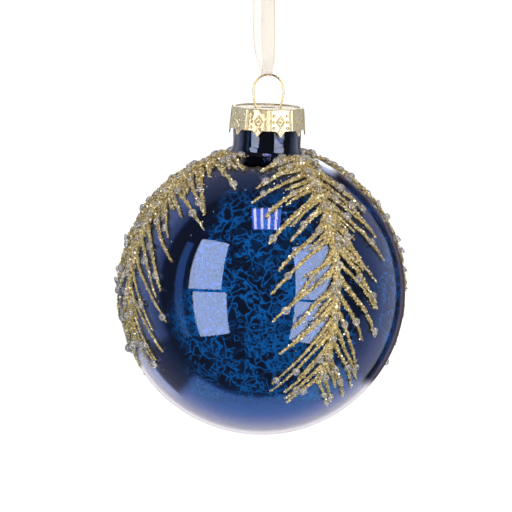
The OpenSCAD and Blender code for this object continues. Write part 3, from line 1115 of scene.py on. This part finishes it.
# Radii, heights over the glue and scatter are in mm
FLAKES_PER_MM2 = 10
FLAKE_CORNERS = 6
FLAKE_R = (0.14, 0.38)
FLAKE_LIFT = (-0.02, 0.2)
FLAKE_SCATTER = 0.07
FLAKE_TILT = 0.85
FULL_FLAKE_STROKE_W = 1.1
LOOSE_FLAKES = 260
LOOSE_FLAKE_R = 0.2
LOOSE_SPREAD = 2.2


def flake_mesh(name, centres, normals, sizes, material, rng):
    """Flat six-sided flakes at centres, facing along normals but tilted at random."""
    n = len(centres)
    normals = normals + rng.normal(0, FLAKE_TILT, (n, 3))
    normals /= np.linalg.norm(normals, axis=1, keepdims=True)
    helper = rng.normal(0, 1, (n, 3))
    u = np.cross(normals, helper)
    u /= np.linalg.norm(u, axis=1, keepdims=True)
    v = np.cross(normals, u)
    angles = np.arange(FLAKE_CORNERS) * 2 * np.pi / FLAKE_CORNERS
    ring = u[:, None] * np.cos(angles)[None, :, None] + v[:, None] * np.sin(angles)[None, :, None]
    verts = centres[:, None] + ring * sizes[:, None, None]
    mesh = bpy.data.meshes.new(name)
    mesh.vertices.add(n * FLAKE_CORNERS)
    mesh.vertices.foreach_set("co", verts.astype(np.float32).ravel())
    mesh.loops.add(n * FLAKE_CORNERS)
    mesh.loops.foreach_set("vertex_index", np.arange(n * FLAKE_CORNERS, dtype=np.int32))
    mesh.polygons.add(n)
    mesh.polygons.foreach_set("loop_start", np.arange(n, dtype=np.int32) * FLAKE_CORNERS)
    mesh.update(calc_edges=True)
    mesh.materials.append(material)
    return add_object(name, mesh)


def add_flakes(name, strokes, material, rng):
    """Glitter over a sprig's strokes, as thick as real glitter lies, and stray flakes near them."""
    paths = [up for path, _, _ in strokes for up, _ in path]
    centres, normals, sizes = [], [], []
    for path, widths, _ in strokes:
        points, outward = stroke_surface(path, widths)
        rows, columns, _ = points.shape
        length = sum((path[k + 1][0] - path[k][0]).length for k in range(rows - 1)) * BALL_R
        area = length * np.mean(widths) * 1.5 / MM**2
        count = int(area * FLAKES_PER_MM2)
        sizes.append(rng.uniform(*FLAKE_R, count) * MM * min(1, np.mean(widths) / (FULL_FLAKE_STROKE_W * MM)))
        row = rng.uniform(0, rows - 1.001, count)
        column = rng.uniform(0, columns - 1.001, count)
        i, j = row.astype(int), column.astype(int)
        fr, fc = (row - i)[:, None], (column - j)[:, None]
        for grid, out in ((points, centres), (outward, normals)):
            low = grid[i, j] * (1 - fc) + grid[i, j + 1] * fc
            high = grid[i + 1, j] * (1 - fc) + grid[i + 1, j + 1] * fc
            out.append(low * (1 - fr) + high * fr)
    centres, normals = np.vstack(centres), np.vstack(normals)
    centres = centres + normals * rng.uniform(*FLAKE_LIFT, (len(centres), 1)) * MM
    centres = centres + rng.normal(0, FLAKE_SCATTER, centres.shape) * MM
    loose = np.array([paths[int(k)] for k in rng.integers(0, len(paths), LOOSE_FLAKES)])
    loose = loose * BALL_R + rng.normal(0, LOOSE_SPREAD, loose.shape) * MM
    loose /= np.linalg.norm(loose, axis=1, keepdims=True)
    centres = np.vstack([centres, loose * (BALL_R + 0.06 * MM)])
    normals = np.vstack([normals, loose])
    centres[:, 2] += BALL_Z
    sizes.append(np.full(LOOSE_FLAKES, LOOSE_FLAKE_R * MM))
    return flake_mesh(name, centres, normals, np.concatenate(sizes), material, rng)


BEAD_SIDES = 12
BEAD_RING = 24
BEAD_SIZES = (0.86, 1.08)
BEAD_TUBES = (0.34, 0.4)
BEAD_LEAN = 14
BEAD_SINK = 0.42
SECOND_BEAD_SHARE = 0.45


def bead_template(outer, tube_r):
    """A ring bead about Z, resting on the plane z = 0."""
    verts = []
    for k in range(BEAD_RING):
        a = 2 * math.pi * k / BEAD_RING
        for m in range(BEAD_SIDES):
            b = 2 * math.pi * m / BEAD_SIDES
            r = outer - tube_r + tube_r * math.cos(b)
            verts.append((r * math.cos(a), r * math.sin(a), tube_r * (1.15 + 1.15 * math.sin(b))))
    faces = []
    for k in range(BEAD_RING):
        for m in range(BEAD_SIDES):
            a, b = k * BEAD_SIDES, (k + 1) % BEAD_RING * BEAD_SIDES
            faces.append((a + m, b + m, b + (m + 1) % BEAD_SIDES, a + (m + 1) % BEAD_SIDES))
    return verts, faces


def add_beads(name, strokes, material, rng):
    """Seed beads set into the glitter: one or two on each needle, one on each crown stroke, more along the stem."""
    places = []
    last = NEEDLE_POINTS - 1
    for path, widths, what in strokes:
        if what == "small":
            continue
        if what == "stem":
            picks = [int(rng.integers(k, k + 5)) for k in range(3, 84, 6)]
        elif what == "crown":
            picks = [int(rng.integers(10, last))]
        else:
            i, side = what
            share = BEAD_PLACES[(i + (3 if side > 0 else 0)) % len(BEAD_PLACES)]
            picks = [min(last, max(3, int(share * last)))]
            if rng.random() < SECOND_BEAD_SHARE:
                picks.append((picks[0] + int(rng.integers(7, 17))) % NEEDLE_POINTS)
        for k in picks:
            up, forward = path[k]
            sideways = up.cross(forward) * rng.uniform(-0.25, 0.25) * widths[k] * (2 if what == "stem" else 1)
            places.append((up, forward, sideways, widths[k]))
    verts, faces = [], []
    for up, forward, sideways, width in places:
        size = BEAD_D / 2 * rng.uniform(*BEAD_SIZES)
        template, quads = bead_template(size, size * rng.uniform(*BEAD_TUBES))
        lean = turned("X", rng.normal(0, BEAD_LEAN)) @ turned("Y", rng.normal(0, BEAD_LEAN))
        lean = lean @ turned("Z", rng.uniform(0, 360))
        across = up.cross(forward)
        turn = Matrix((forward, across, up)).transposed() @ lean
        base = up * (BALL_R + width * BEAD_SINK) + sideways + Vector((0, 0, BALL_Z))
        start = len(verts)
        verts += [base + turn @ Vector(v) for v in template]
        faces += [tuple(start + k for k in f) for f in quads]
    return add_mesh(name, verts, faces, material)


def make_sprigs():
    """Each sprig's glue lines, glitter flakes and beads."""
    glue, gold, clear = glue_material(), flake_material(), bead_material()
    for name, sprig in SPRIGS.items():
        rng = np.random.default_rng(sprig["seed"])
        strokes = sprig_strokes(sprig, rng)
        lines = add_glue(f"glue_lines_{name}", strokes, glue, rng)
        finish_piece(lines, "ball", "gold_glitter", f"glitter_sprig_{name}")
        flakes = add_flakes(f"glitter_flakes_{name}", strokes, gold, rng)
        finish_piece(flakes, "ball", "gold_glitter")
        beads = add_beads(f"glass_beads_{name}", strokes, clear, rng)
        finish_piece(beads, "ball", "clear_bead", f"seed_beads_{name}")


# --- All together ---

bpy.context.scene.view_settings.view_transform = "Standard"
make_camera()
make_ribbon()
make_floor()
make_world()
make_lights()
make_glass()
make_coating()
make_cap()
make_hanger()
make_sprigs()
